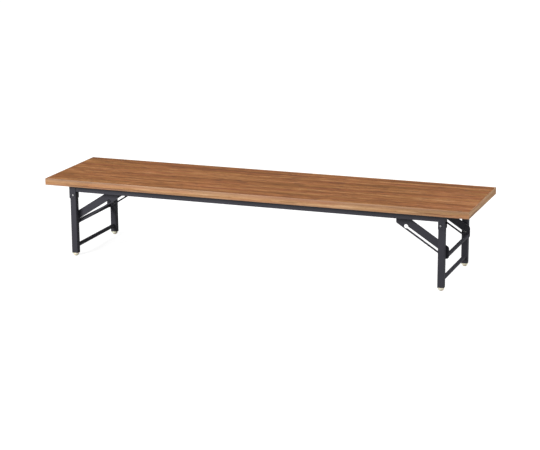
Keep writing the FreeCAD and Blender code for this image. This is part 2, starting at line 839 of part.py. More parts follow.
def make_slot_pins(side_name):
    """The headed pins that the slots run on, with a spacer that holds the stay off the leg."""
    side = SIDES[side_name]
    at = (f"{side} * place.leg_x", "place.pin_z")
    head_seat = "place.stay_inner - dim.seat_play"
    end = "place.leg_face - dim.pin_gap"
    pins, spacers = [], []
    for row_name, row in ROWS.items():
        tag = f"{row_name}_{side_name}"
        shank = add_rod(f"pin_shank_{tag}", row, "dim.pin_diameter", *at, head_seat, end)
        head_size = ("dim.pin_head_diameter", "dim.pin_head_height")
        head = add_head(f"pin_head_{tag}", row, *head_size, *at, head_seat, outwards=False)
        pins.append(fuse(f"pin_{tag}", [shank, head]))
        spacer_start = "place.stay_outer + dim.seat_play"
        spacer_sizes = ("dim.spacer_diameter", "dim.pin_diameter")
        spacers.append(
            add_tube(f"pin_spacer_{tag}", row, *spacer_sizes, *at, spacer_start, end)
        )
    keep(group(f"pin_group_{side_name}", pins), f"slot_pins_{side_name}")
    keep(group(f"pin_spacer_group_{side_name}", spacers), f"slot_pin_spacers_{side_name}")


def make_table():
    """Every piece, from the top down."""
    make_top()
    make_screws()
    for name, row in ROWS.items():
        make_rail(f"rail_{name}", row)
    for name, step in (("left", -1), ("middle", 0), ("right", 1)):
        make_cross_member(f"cross_member_{name}", step)
    for side_name, row_name in CORNERS:
        label = f"hinge_bracket_{row_name}_{side_name}"
        make_hinge_bracket(label, SIDES[side_name], ROWS[row_name])
    make_frame_rivets()
    for side_name in SIDES:
        make_leg_frame(side_name)
        make_stay_unit(side_name)
        make_slot_pins(side_name)


make_table()
doc.recompute()

failed = [item.Name for item in doc.Objects if {"Invalid", "Error"} & set(item.State)]
for piece in nodes:
    if piece.Shape.isNull() or not piece.Shape.isValid() or not piece.Shape.Solids:
        failed.append(piece.Label)
if failed:
    raise RuntimeError(f"these did not come out whole: {failed}")

os.makedirs("parts", exist_ok=True)
for piece in nodes:
    piece.Shape.exportStep(f"parts/{piece.Label}.step")
    print(piece.Label, len(piece.Shape.Solids), "solids", round(piece.Shape.Volume), "mm3")
for name in ("stay_slope", "pin_reach", "hub_x", "hub_z", "pivot_x", "pivot_z", "pin_z", "bar_z"):
    print(name, number("place." + name))
print(len(nodes), "pieces")
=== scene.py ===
"""How the folding low table looks: a teak-grain top on an enamelled steel under-frame.

Metres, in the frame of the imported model: +X along the top to the right, +Y to the rear,
+Z up, the floor at zero. The legs stand unfolded at rest.
"""

import math

import bmesh
import bpy
from mathutils import Matrix, Vector


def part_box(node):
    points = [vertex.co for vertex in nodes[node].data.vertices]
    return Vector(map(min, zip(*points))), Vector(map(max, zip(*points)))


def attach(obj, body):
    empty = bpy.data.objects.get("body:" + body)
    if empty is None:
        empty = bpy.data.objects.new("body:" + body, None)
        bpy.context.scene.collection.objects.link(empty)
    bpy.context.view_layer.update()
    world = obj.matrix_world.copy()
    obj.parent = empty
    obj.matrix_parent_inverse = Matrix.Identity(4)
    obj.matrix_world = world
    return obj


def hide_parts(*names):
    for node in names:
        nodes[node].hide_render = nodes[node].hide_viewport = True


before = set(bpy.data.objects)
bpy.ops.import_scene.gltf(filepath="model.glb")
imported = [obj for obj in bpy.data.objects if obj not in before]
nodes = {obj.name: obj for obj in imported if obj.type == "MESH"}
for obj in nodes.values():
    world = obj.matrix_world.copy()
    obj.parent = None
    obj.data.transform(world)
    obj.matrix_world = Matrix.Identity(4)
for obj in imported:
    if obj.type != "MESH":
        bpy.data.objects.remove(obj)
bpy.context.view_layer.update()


# The top sheet.
# A hard decorative laminate with a printed teak grain that runs along the table,
# pressed on the core and cut flush with the edge bands.

SHEET_TONES = (
    (0.38, (0.114, 0.035, 0.010)),
    (0.45, (0.211, 0.073, 0.020)),
    (0.50, (0.299, 0.111, 0.031)),
    (0.55, (0.395, 0.166, 0.053)),
    (0.62, (0.552, 0.286, 0.128)),
)
SHEET_LINE_TONE = (0.088, 0.033, 0.016)
SHEET_PORE_TONE = (0.070, 0.028, 0.011)
SHEET_OLIVE_TONE = (0.262, 0.130, 0.027)
SHEET_ROSE_TONE = (0.405, 0.124, 0.052)
SHEET_STREAKS = (1.6, 34.0, 34.0)
SHEET_FLECKS = (14.0, 100.0, 100.0)
SHEET_VEINS = (18.0, 95.0, 95.0)
SEAM_WIDTH = 0.0003
SEAM_DEPTH = 0.6
SEAM_TONE = (0.100, 0.055, 0.030)

WAVER_SCALES = (1.7, 5.0, 5.0)
WAVER_REACH = 0.016
FIBRE_SCALES = (30.0, 1100.0, 1100.0)
PATCH_SCALES = (3.0, 46.0, 46.0)
PORE_SCALES = (60.0, 1300.0, 1300.0)
STREAK_SHARE = 0.40
FLECK_SHARE = 0.46
FIBRE_SHARE = 0.14
PATCH_STOPS = ((0.48, 0.0), (0.64, 0.42))
VEIN_STOPS = ((0.56, 0.0), (0.63, 0.62))
PORE_STOPS = ((0.60, 0.0), (0.70, 0.6))
PORE_DEPTH = 0.00006
WOOD_GLOSS = (0.40, 0.56)


def add_node(tree, kind, sockets=None, **settings):
    """A shader node with its settings, each named socket holding a value or another's output."""
    node = tree.nodes.new("ShaderNode" + kind)
    for name, value in settings.items():
        setattr(node, name, value)
    for name, value in (sockets or {}).items():
        if isinstance(value, bpy.types.NodeSocket):
            tree.links.new(value, node.inputs[name])
        else:
            node.inputs[name].default_value = value
    return node


def new_material(name, sockets):
    """A material with one principled shader, whose even numbers are set on its own sockets."""
    material = bpy.data.materials.new(name)
    material.use_nodes = True
    shader = material.node_tree.nodes["Principled BSDF"]
    for socket, value in sockets.items():
        shader.inputs[socket].default_value = value
    return material, material.node_tree, shader


def add_math(tree, operation, *values):
    """One step of arithmetic on factors."""
    return add_node(tree, "Math", dict(enumerate(values)), operation=operation).outputs[0]


def add_noise(tree, place, scales, detail, roughness=0.5, offset=(0.0, 0.0, 0.0)):
    """Noise stretched along the axes; a scale is how many of its spots fit in a metre."""
    stretch = add_node(tree, "Mapping", {"Vector": place, "Scale": scales, "Location": offset})
    spots = {
        "Vector": stretch.outputs["Vector"],
        "Scale": 1.0,
        "Detail": detail,
        "Roughness": roughness,
    }
    return add_node(tree, "TexNoise", spots).outputs["Fac"]


def add_ramp(tree, factor, stops):
    """Colours or greys along a factor."""
    ramp = add_node(tree, "ValToRGB", {"Fac": factor})
    elements = ramp.color_ramp.elements
    while len(elements) < len(stops):
        elements.new(0.5)
    for element, (position, tone) in zip(elements, stops):
        element.position = position
        element.color = (*tone, 1.0) if isinstance(tone, tuple) else (tone, tone, tone, 1.0)
    return ramp.outputs["Color"]


def object_place(tree):
    """Where the shaded point lies in its piece's own coordinates."""
    return add_node(tree, "TexCoord").outputs["Object"]


def add_mix(tree, factor, under, over):
    """One colour laid over another."""
    mix = add_node(tree, "Mix", data_type="RGBA")
    for index, value in ((0, factor), (6, under), (7, over)):
        if isinstance(value, bpy.types.NodeSocket):
            tree.links.new(value, mix.inputs[index])
        else:
            mix.inputs[index].default_value = (*value, 1.0) if isinstance(value, tuple) else value
    return mix.outputs[2]


def add_range(tree, value, low, high):
    """A factor of 0 to 1 spread between two numbers."""
    return add_node(tree, "MapRange", {"Value": value, "To Min": low, "To Max": high}).outputs[0]


def set_gloss(tree, shader, factor, low, high):
    """Roughness between two numbers."""
    tree.links.new(add_range(tree, factor, low, high), shader.inputs["Roughness"])


def set_relief(tree, shader, height, distance, **more):
    """Fine bumps, as high as the distance in metres."""
    bump = add_node(tree, "Bump", {"Height": height, "Distance": distance, **more})
    tree.links.new(bump.outputs["Normal"], shader.inputs["Normal"])


def along_grain(tree, turned):
    """Object coordinates with X along the grain, wavering a little from side to side."""
    place = object_place(tree)
    if turned:
        quarter = (0.0, 0.0, math.radians(90))
        place = add_node(tree, "Mapping", {"Vector": place, "Rotation": quarter}).outputs["Vector"]
    waver = add_noise(tree, place, WAVER_SCALES, 2.0)
    shift = add_range(tree, waver, -WAVER_REACH, WAVER_REACH)
    sideways = add_node(tree, "CombineXYZ", {"Y": shift}).outputs["Vector"]
    return add_node(tree, "VectorMath", {0: place, 1: sideways}, operation="ADD").outputs["Vector"]


def wood_grain(name, tones, streak, fleck, vein, turned=False, seed=0.0):
    """Printed wood: streaks, short flecks and fine fibre, tinted in patches, veins and pores.

    Its colour comes back unlinked, so that the piece's edges can be toned first.
    """
    material, tree, shader = new_material(name, {"IOR": 1.5, "Specular IOR Level": 0.32})
    place = along_grain(tree, turned)
    streaks = add_noise(tree, place, streak, 3.0, 0.5, (seed, seed, 0.0))
    flecks = add_noise(tree, place, fleck, 6.0, 0.72, (0.0, seed, seed))
    fibre = add_noise(tree, place, FIBRE_SCALES, 3.0, 0.6, (seed, 0.0, 0.0))
    mixed = add_math(tree, "MULTIPLY", streaks, STREAK_SHARE)
    mixed = add_math(tree, "MULTIPLY_ADD", flecks, FLECK_SHARE, mixed)
    mixed = add_math(tree, "MULTIPLY_ADD", fibre, FIBRE_SHARE, mixed)
    colour = add_ramp(tree, mixed, tones)
    for tone, offset in ((SHEET_OLIVE_TONE, 7.0), (SHEET_ROSE_TONE, 11.0)):
        patch = add_noise(tree, place, PATCH_SCALES, 5.0, 0.6, (offset + seed, 3.0, 0.0))
        patch = add_ramp(tree, patch, PATCH_STOPS)
        colour = add_mix(tree, patch, colour, tone)
    veins = add_noise(tree, place, vein, 5.0, 0.65, (3.0, seed, 5.0))
    veins = add_ramp(tree, veins, VEIN_STOPS)
    colour = add_mix(tree, veins, colour, SHEET_LINE_TONE)
    pores = add_noise(tree, place, PORE_SCALES, 2.0, 0.5, (5.0, seed, 9.0))
    pores = add_ramp(tree, pores, PORE_STOPS)
    colour = add_mix(tree, pores, colour, SHEET_PORE_TONE)
    set_gloss(tree, shader, mixed, *WOOD_GLOSS)
    set_relief(tree, shader, add_math(tree, "SUBTRACT", 1.0, pores), PORE_DEPTH)
    return material, tree, shader, colour


def dress(material, names):
    """Gives CAD nodes a finish in place of the plain one that they come with."""
    for name in names:
        mesh = nodes[name].data
        mesh.materials.clear()
        mesh.materials.append(material)


sheet, tree, shader, colour = wood_grain(
    "teak_laminate", SHEET_TONES, SHEET_STREAKS, SHEET_FLECKS, SHEET_VEINS
)
sheet_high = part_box("top_laminate")[1]
split = add_node(tree, "SeparateXYZ", {"Vector": object_place(tree)})
seams = []
for axis, reach in (("X", sheet_high.x), ("Y", sheet_high.y)):
    away = add_math(tree, "ABSOLUTE", split.outputs[axis])
    seams.append(add_math(tree, "GREATER_THAN", away, reach - SEAM_WIDTH))
seam = add_math(tree, "MULTIPLY", add_math(tree, "MAXIMUM", *seams), SEAM_DEPTH)
tree.links.new(add_mix(tree, seam, colour, SEAM_TONE), shader.inputs["Base Color"])
dress(sheet, ["top_laminate"])


# The edge bands.
# Strips of the same teak pattern in a lighter, tawnier print, glued round the four edges,
# with their outer corners rounded over. Painted sheen greys their faces towards the top and
# bottom edges, and the end bands are a paler, greyer copy of the long ones, a painted sheen.

BAND_TONES = (
    (0.38, (0.230, 0.095, 0.030)),
    (0.45, (0.335, 0.162, 0.062)),
    (0.50, (0.410, 0.214, 0.094)),
    (0.55, (0.480, 0.270, 0.132)),
    (0.62, (0.590, 0.370, 0.210)),
)
# Painted sheen: a greyer tone laid over the band faces towards their top and bottom edges.
BAND_EDGE_SHEEN_TONE = (0.310, 0.190, 0.125)
BAND_STREAKS = (0.9, 60.0, 60.0)
BAND_FLECKS = (9.0, 190.0, 190.0)
BAND_VEINS = (2.4, 92.0, 92.0)
BAND_EDGE_SHEEN_RANGES = ((-0.3, 1.0), (-0.4, -1.0))
LONG_BAND_CAST = (1.0, 1.0, 1.0)
LONG_BAND_EDGE_SHEEN = 0.62
# Painted sheen: the end bands' tones are scaled paler and greyer, in place of the white sheen that
# end faces catch.
END_BAND_SHEEN_CAST = (1.02, 1.13, 1.26)
END_BAND_EDGE_SHEEN = 0.30

band_low, band_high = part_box("edge_band_front")
band_middle = (band_low.z + band_high.z) / 2
for direction, turned, seed, edge_sheen, sheen_cast, ends in (
    ("long", False, 2.0, LONG_BAND_EDGE_SHEEN, LONG_BAND_CAST, ("front", "rear")),
    ("end", True, 4.0, END_BAND_EDGE_SHEEN, END_BAND_SHEEN_CAST, ("left", "right")),
):
    # Each band's tones are scaled by its painted sheen cast; the long bands' cast leaves them as
    # they are.
    tones = []
    for spot, tone in BAND_TONES:
        tones.append((spot, tuple(part * share for part, share in zip(tone, sheen_cast))))
    band, tree, shader, colour = wood_grain(
        f"teak_band_{direction}", tones, BAND_STREAKS, BAND_FLECKS, BAND_VEINS, turned, seed
    )
    split = add_node(tree, "SeparateXYZ", {"Vector": object_place(tree)})
    # Painted sheen: the faces are greyed by height, more towards their top and bottom edges.
    rise = add_math(tree, "SUBTRACT", split.outputs["Z"], band_middle)
    rise = add_math(tree, "DIVIDE", rise, band_high.z - band_middle)
    shade = [
        add_node(tree, "MapRange", {"Value": rise, "From Min": start, "From Max": end}).outputs[0]
        for start, end in BAND_EDGE_SHEEN_RANGES
    ]
    shade = add_math(tree, "MULTIPLY", add_math(tree, "MAXIMUM", *shade), edge_sheen)
    tree.links.new(add_mix(tree, shade, colour, BAND_EDGE_SHEEN_TONE), shader.inputs["Base Color"])
    dress(band, [f"edge_band_{end}" for end in ends])


# The core and its backing.
# A particle board that the sheets and bands hide, with a dark brown balancing paper under it
# that keeps the top flat.

CHIP_TONES = ((0.0, (0.30, 0.20, 0.12)), (0.5, (0.50, 0.37, 0.23)), (1.0, (0.66, 0.52, 0.35)))
CHIPS_PER_METRE = 420.0
CHIP_DEPTH = 0.0002
PAPER_TONES = ((0.35, (0.115, 0.085, 0.062)), (0.65, (0.150, 0.112, 0.082)))
PAPER_CLOUDS = (3.0, 60.0, 3.0)
FELT_PER_METRE = 600.0
FELT_DEPTH = 0.00004

board, tree, shader = new_material("particle_board", {"Roughness": 0.85})
place = object_place(tree)
chips = add_node(tree, "TexVoronoi", {"Vector": place, "Scale": CHIPS_PER_METRE})
tree.links.new(add_ramp(tree, chips.outputs["Color"], CHIP_TONES), shader.inputs["Base Color"])
set_relief(tree, shader, chips.outputs["Distance"], CHIP_DEPTH)
dress(board, ["core_board"])

paper, tree, shader = new_material("backing_paper", {"Roughness": 0.6, "Specular IOR Level": 0.3})
place = object_place(tree)
cloud = add_noise(tree, place, PAPER_CLOUDS, 4.0, 0.6)
tree.links.new(add_ramp(tree, cloud, PAPER_TONES), shader.inputs["Base Color"])
felt = add_noise(tree, place, (FELT_PER_METRE,) * 3, 2.0)
set_relief(tree, shader, felt, FELT_DEPTH)
dress(paper, ["backing_sheet"])


# The under-frame.
# Two long channels, three cross channels and four folded hinge brackets of sheet steel,
# screwed under the core and finished in a baked blue-black enamel: nearly even, with soft
# orange peel, a little dust and softened edges.

ENAMEL_TONES = ((0.30, (0.0290, 0.0280, 0.0360)), (0.70, (0.0360, 0.0350, 0.0440)))
ENAMEL_CLOUDS_PER_METRE = 9.0
ENAMEL_DUST_PER_METRE = 60.0
ENAMEL_PEEL_PER_METRE = 520.0
ENAMEL_PEEL_DEPTH = 0.00003
ENAMEL_GLOSS = (0.37, 0.53)
SHEET_EDGE_RADIUS = 0.0005

frame_enamel, tree, shader = new_material("frame_enamel", {"IOR": 1.5, "Specular IOR Level": 0.36})
place = object_place(tree)
cloud = add_noise(tree, place, (ENAMEL_CLOUDS_PER_METRE,) * 3, 4.0, 0.55)
tree.links.new(add_ramp(tree, cloud, ENAMEL_TONES), shader.inputs["Base Color"])
dust = add_noise(tree, place, (ENAMEL_DUST_PER_METRE,) * 3, 5.0, 0.65)
set_gloss(tree, shader, dust, *ENAMEL_GLOSS)
peel = add_noise(tree, place, (ENAMEL_PEEL_PER_METRE,) * 3, 2.0)
soft = add_node(tree, "Bevel", {"Radius": SHEET_EDGE_RADIUS}, samples=4).outputs["Normal"]
set_relief(tree, shader, peel, ENAMEL_PEEL_DEPTH, Strength=0.7, Normal=soft)
under_frame = ("rail_", "cross_member_", "hinge_bracket_")
dress(frame_enamel, [name for name in nodes if name.startswith(under_frame)])


# The frame screws.
# Zinc-plated pan-head wood screws with a cross recess, up through the channels into the core.

SCREW_HEAD_RADIUS = 0.0042
SCREW_HEAD_HEIGHT = 0.0022
SCREW_SHANK_RADIUS = 0.0021
SCREW_RECESS_REACH = 0.0021
SCREW_RECESS_HALF = 0.00045
SCREW_RECESS_DEPTH = 0.0011
SCREW_CROWN_RADII = (0.0003, 0.0008, 0.0013, 0.0017, 0.0020, 0.0022, 0.0026, 0.0031)
SCREW_STEPS = 48
SCREW_PROFILE = (
    (0.0037, 0.0003),
    (0.00405, 0.0008),
    (SCREW_HEAD_RADIUS, 0.0014),
    (SCREW_HEAD_RADIUS, SCREW_HEAD_HEIGHT),
    (SCREW_SHANK_RADIUS, SCREW_HEAD_HEIGHT),
    (SCREW_SHANK_RADIUS, 0.0130),
    (0.0004, 0.0165),
)
CROSS_SCREW_REACH = 0.090
ZINC_TONE = (0.66, 0.64, 0.56)
ZINC_SCRATCHES = (900.0, 900.0, 900.0)
PLATE_CLOUDS_PER_METRE = 140.0
PLATE_SHADE = 0.70
SCRATCH_DEPTH = 0.00002


def circle(radius, height, steps):
    """A ring of points about Z."""
    turns = [2 * math.pi * step / steps for step in range(steps)]
    return [Vector((radius * math.cos(a), radius * math.sin(a), height)) for a in turns]


def profile_rings(profile, steps):
    """Rings about Z, one for each radius and height of a turned profile."""
    return [circle(radius, height, steps) for radius, height in profile]


def loft(made, rings, matrix, finish=0, closed=False):
    """Skins rings of equally many points, in order, and caps the first and the last."""
    rows = [[made.verts.new(matrix @ point) for point in ring] for ring in rings]
    count = len(rows[0])
    pairs = list(zip(rows, rows[1:]))
    if closed:
        pairs.append((rows[-1], rows[0]))
    faces = []
    for low, high in pairs:
        for index in range(count):
            after = (index + 1) % count
            faces.append(made.faces.new((low[index], low[after], high[after], high[index])))
    if not closed:
        faces.append(made.faces.new(reversed(rows[0])))
        faces.append(made.faces.new(rows[-1]))
    for face in faces:
        face.material_index = finish
        face.smooth = True


def finish_piece(made, name, materials, body, replaced=(), crease=35.0):
    """Turns the built mesh into a piece that rides on a body and stands for CAD nodes."""
    bmesh.ops.recalc_face_normals(made, faces=made.faces)
    mesh = bpy.data.meshes.new(name)
    made.to_mesh(mesh)
    made.free()
    mesh.set_sharp_from_angle(angle=math.radians(crease))
    for material in materials:
        mesh.materials.append(material)
    piece = bpy.data.objects.new(name, mesh)
    bpy.context.scene.collection.objects.link(piece)
    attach(piece, body)
    if replaced:
        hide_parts(*replaced)


def plated_steel(name, tone, roughness, grain):
    """Turned and pressed steel, clouded, with fine scratches."""
    material, tree, shader = new_material(name, {"Metallic": 1.0})
    place = object_place(tree)
    cloud = add_noise(tree, place, (PLATE_CLOUDS_PER_METRE,) * 3, 5.0, 0.6)
    dark = tuple(PLATE_SHADE * part for part in tone)
    tree.links.new(add_ramp(tree, cloud, ((0.3, dark), (0.7, tone))), shader.inputs["Base Color"])
    scratches = add_noise(tree, place, grain, 3.0)
    set_gloss(tree, shader, scratches, roughness - 0.10, roughness + 0.12)
    set_relief(tree, shader, scratches, SCRATCH_DEPTH)
    return material


def screw_rings():
    """A screw from its head's crown up to its tip, the recess pressed into the crown."""
    rings = []
    for radius in SCREW_CROWN_RADII:
        ring = circle(radius, 0.0, SCREW_STEPS)
        for point in ring:
            across = min(abs(point.x), abs(point.y))
            if radius < SCREW_RECESS_REACH and across < SCREW_RECESS_HALF:
                point.z = SCREW_RECESS_DEPTH * (1.0 - 0.5 * radius / SCREW_RECESS_REACH)
        rings.append(ring)
    return rings + profile_rings(SCREW_PROFILE, SCREW_STEPS)


zinc = plated_steel("zinc_plate", ZINC_TONE, 0.42, ZINC_SCRATCHES)
screws_low, screws_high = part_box("frame_screws")
rail_low, rail_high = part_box("rail_front")
rail_middle = -(rail_low.y + rail_high.y) / 2
rail_reach = screws_high.x - SCREW_HEAD_RADIUS
cross_low, cross_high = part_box("cross_member_right")
cross_middle = (cross_low.x + cross_high.x) / 2
screw_spots = [(step * rail_reach / 3, rail_middle) for step in (-3, -1, 1, 3)]
screw_spots += [(step * cross_middle, CROSS_SCREW_REACH) for step in (-1, 0, 1)]
made = bmesh.new()
for x, reach in screw_spots:
    for y in (-reach, reach):
        loft(made, screw_rings(), Matrix.Translation((x, y, screws_low.z)))
finish_piece(made, "frame_screw_set", [zinc], "table_top", ["frame_screws"])


# The pivot rivets.
# Steel rivets with a pressed tail, a flat collar and a rounded button. The four that carry
# the legs have bare bright buttons. The four that carry the stays are painted over.

RIVET_TONE = (0.70, 0.70, 0.71)
RIVET_SCRATCHES = (2500.0, 200.0, 2500.0)
RIVET_STEPS = 40
RIVET_SHANK_RADIUS = 0.0040
COLLAR_RADIUS = 0.0068
COLLAR_HEIGHT = 0.0013
COLLAR_EASE = 0.0004
BUTTON_PROFILE = (
    (0.00380, COLLAR_HEIGHT),
    (0.00380, 0.0019),
    (0.00350, 0.0023),
    (0.00260, 0.00252),
    (0.00120, 0.00260),
    (0.00020, 0.00260),
)
TAIL_PROFILE = (
    (0.0002, -0.0016),
    (0.0036, -0.0016),
    (0.0050, -0.0011),
    (0.0058, -0.0003),
    (0.0058, 0.0),
)
HEAD_TO_STAY = 0.0002

rivet_steel = plated_steel("rivet_steel", RIVET_TONE, 0.34, RIVET_SCRATCHES)


def add_rivet(made, x, z, tail_y, head_y):
    """A rivet across the table, from its pressed tail to its collar and button."""
    length = abs(head_y - tail_y)
    away = 1 if head_y > tail_y else -1
    turn = Matrix.Rotation(math.radians(-90 * away), 4, "X")
    stand = Matrix.Translation((x, tail_y, z)) @ turn
    shank = [(RIVET_SHANK_RADIUS, 0.0), (RIVET_SHANK_RADIUS, length)]
    loft(made, profile_rings((*TAIL_PROFILE, *shank), RIVET_STEPS), stand)
    head = stand @ Matrix.Translation((0.0, 0.0, length))
    collar = (
        (RIVET_SHANK_RADIUS, 0.0),
        (COLLAR_RADIUS, 0.0),
        (COLLAR_RADIUS, COLLAR_HEIGHT - COLLAR_EASE),
        (COLLAR_RADIUS - COLLAR_EASE, COLLAR_HEIGHT),
        BUTTON_PROFILE[0],
    )
    loft(made, profile_rings(collar, RIVET_STEPS), head, finish=1)
    loft(made, profile_rings(BUTTON_PROFILE, RIVET_STEPS), head)


pivots = {}
for side in ("left", "right"):
    low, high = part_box(f"leg_pivot_sleeves_{side}")
    pivots[side] = (low + high) / 2
ear_low, ear_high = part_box("hinge_bracket_rear_right")
made = bmesh.new()
for pivot in pivots.values():
    for row in (-1, 1):
        add_rivet(made, pivot.x, pivot.z, row * ear_low.y, row * ear_high.y)
finish_piece(
    made,
    "leg_pivot_rivet_set",
    [rivet_steel, frame_enamel],
    "table_top",
    ["leg_pivot_rivets"],
)

spacers_low, spacers_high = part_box("stay_pivot_spacers")
stay_rivets_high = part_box("stay_pivot_rivets")[1]
hub_z = (spacers_low.z + spacers_high.z) / 2
hub_x = spacers_high.x - (spacers_high.z - spacers_low.z) / 2
stay_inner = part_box("stay_rear_right")[0].y
rail_tail = stay_rivets_high.y + TAIL_PROFILE[0][1]
made = bmesh.new()
for x in (-hub_x, hub_x):
    for row in (-1, 1):
        add_rivet(made, x, hub_z, row * rail_tail, row * (stay_inner - HEAD_TO_STAY))
finish_piece(
    made,
    "stay_pivot_rivet_set",
    [frame_enamel, frame_enamel],
    "table_top",
    ["stay_pivot_rivets"],
)


# The leg frames.
# Square tubes with a round crossbar welded low between them, in the same enamel, turning on
# plated sleeves.

WELD_REACH = 0.0016
WELD_SINK = 0.0003
WELD_RIPPLE = 0.10
WELD_UNEVENNESS = 0.07
WELD_STEPS = 96
WELD_RIPPLES = 26


def add_weld(made, x, z, face_y, inwards, radius):
    """A fillet weld round a bar's end: a rippled bead in the corner of bar and face."""
    rings = []
    for step in range(WELD_STEPS):
        turn = 2 * math.pi * step / WELD_STEPS
        swell = WELD_RIPPLE * math.sin(WELD_RIPPLES * turn) + WELD_UNEVENNESS * math.sin(3 * turn)
        reach = WELD_REACH * (1.0 + swell)
        section = (
            (-WELD_SINK, -WELD_SINK),
            (reach, -WELD_SINK),
            (0.72 * reach, 0.5 * reach),
            (0.5 * reach, 0.72 * reach),
            (-WELD_SINK, reach),
        )
        ring = []
        for out, along in section:
            away = radius + out
            y = face_y + inwards * along
            ring.append(Vector((x + away * math.cos(turn), y, z + away * math.sin(turn))))
        rings.append(ring)
    loft(made, rings, Matrix.Identity(4), closed=True)


def weld_bar(bar, name, body):
    """The beads at both ends of a round bar."""
    low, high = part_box(bar)
    middle = (low + high) / 2
    radius = (high.z - low.z) / 2
    made = bmesh.new()
    for face_y, inwards in ((low.y, 1), (high.y, -1)):
        add_weld(made, middle.x, middle.z, face_y, inwards, radius)
    finish_piece(made, name, [frame_enamel], body, crease=60.0)


legs = [name for name in nodes if name.startswith(("leg_post_", "leg_crossbar_"))]
dress(frame_enamel, legs)
dress(zinc, [name for name in nodes if name.startswith("leg_pivot_sleeves_")])
for side in ("left", "right"):
    weld_bar(f"leg_crossbar_{side}", f"crossbar_welds_{side}", f"leg_frame_{side}")


# The feet.
# Cream plastic caps: a square flange under the tube's end, a round belly that stands on a
# small flat, with the mould's parting line round its widest part, and a plug in the tube.

CREAM_TONES = ((0.3, (0.80, 0.74, 0.56)), (0.7, (0.86, 0.81, 0.65)))
FOOT_STEPS = 48
FOOT_FLANGE_HALF = 0.0130
FOOT_FLANGE_CORNER = 0.0024
FOOT_FLANGE_LOW = 0.0115
FOOT_FLANGE_HIGH = 0.0140
FOOT_PLUG_HALF = 0.0117
FOOT_PLUG_CORNER = 0.0012
FOOT_EASE = 0.0004
FOOT_BELLY_RADIUS = 0.0120
FOOT_BELLY_HEIGHT = 0.0110
FOOT_BELLY_BANDS = 14
FOOT_PART_LINE = 0.00012
FOOT_ROUGHNESS = 0.45
PLASTIC_CLOUDS_PER_METRE = 70.0
PLASTIC_SKIN_PER_METRE = 1500.0
PLASTIC_SKIN_DEPTH = 0.00003


def moulded_plastic(name, tones, roughness):
    """Moulded plastic with a slight haze and a fine skin."""
    haze = {"Subsurface Weight": 0.08, "Subsurface Scale": 0.004}
    material, tree, shader = new_material(name, haze)
    place = object_place(tree)
    cloud = add_noise(tree, place, (PLASTIC_CLOUDS_PER_METRE,) * 3, 4.0)
    tree.links.new(add_ramp(tree, cloud, tones), shader.inputs["Base Color"])
    skin = add_noise(tree, place, (PLASTIC_SKIN_PER_METRE,) * 3, 2.0)
    set_gloss(tree, shader, skin, roughness - 0.06, roughness + 0.08)
    set_relief(tree, shader, skin, PLASTIC_SKIN_DEPTH, Strength=0.5)
    return material


def rounded_square(half, corner, height, steps):
    """A square ring of points with rounded corners, about Z."""
    ring = []
    share = steps // 4
    for quarter in range(4):
        middle = math.radians(45 + 90 * quarter)
        side = (half - corner) * math.sqrt(2)
        for step in range(share):
            turn = math.radians(90 * (quarter + step / (share - 1)))
            x = side * math.cos(middle) + corner * math.cos(turn)
            y = side * math.sin(middle) + corner * math.sin(turn)
            ring.append(Vector((x, y, height)))
    return ring


cream = moulded_plastic("cream_foot", CREAM_TONES, FOOT_ROUGHNESS)
sweep = math.asin(FOOT_BELLY_HEIGHT / FOOT_BELLY_RADIUS)
belly = []
for band in range(FOOT_BELLY_BANDS, 0, -1):
    turn = sweep * band / FOOT_BELLY_BANDS
    height = FOOT_BELLY_HEIGHT - FOOT_BELLY_RADIUS * math.sin(turn)
    belly.append((FOOT_BELLY_RADIUS * math.cos(turn), max(height, 0.0)))
line = FOOT_PART_LINE
belly += [
    (FOOT_BELLY_RADIUS - line, FOOT_BELLY_HEIGHT - line),
    (FOOT_BELLY_RADIUS, FOOT_BELLY_HEIGHT),
    (FOOT_BELLY_RADIUS - line, FOOT_BELLY_HEIGHT + line),
    (FOOT_BELLY_RADIUS - line, FOOT_FLANGE_LOW + line),
]
flange = (
    (FOOT_FLANGE_HALF - FOOT_EASE, FOOT_FLANGE_LOW),
    (FOOT_FLANGE_HALF, FOOT_FLANGE_LOW + FOOT_EASE),
    (FOOT_FLANGE_HALF, FOOT_FLANGE_HIGH),
)
for side in ("left", "right"):
    for row in ("front", "rear"):
        name = f"foot_{row}_{side}"
        low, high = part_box(name)
        stand = Matrix.Translation(((low.x + high.x) / 2, (low.y + high.y) / 2, 0.0))
        plug = (
            (FOOT_PLUG_HALF, FOOT_FLANGE_HIGH),
            (FOOT_PLUG_HALF, high.z - 3 * FOOT_EASE),
            (FOOT_PLUG_HALF - FOOT_EASE, high.z),
        )
        made = bmesh.new()
        loft(made, profile_rings(belly, FOOT_STEPS), stand)
        rings = []
        for half, height in flange:
            rings.append(rounded_square(half, FOOT_FLANGE_CORNER, height, FOOT_STEPS))
        for half, height in plug:
            rings.append(rounded_square(half, FOOT_PLUG_CORNER, height, FOOT_STEPS))
        loft(made, rings, stand)
        finish_piece(made, name + "_cap", [cream], f"leg_frame_{side}", [name])


# The slotted stays.
# Punched steel plates in the same enamel, joined in pairs by a round release bar that is
# welded between their outer ends.

stays = [name for name in nodes if name.startswith(("stay_front_", "stay_rear_", "release_bar_"))]
dress(frame_enamel, stays)
for side in ("left", "right"):
    weld_bar(f"release_bar_{side}", f"release_bar_welds_{side}", f"stay_pair_{side}")


# The slot pins.
# Steel pins with domed heads on the legs, painted with the frame, which the slots run on.
# Nylon spacers hold the stays off the legs and off the rails.

NYLON_TONES = ((0.3, (0.60, 0.59, 0.54)), (0.7, (0.68, 0.67, 0.62)))
PIN_HEAD_PROFILE = (
    (0.0002, -0.0024),
    (0.0024, -0.0024),
    (0.0045, -0.0020),
    (0.0060, -0.0012),
    (0.0065, -0.0004),
    (0.0065, 0.0),
)
PIN_RADIUS = 0.0040
NYLON_ROUGHNESS = 0.4

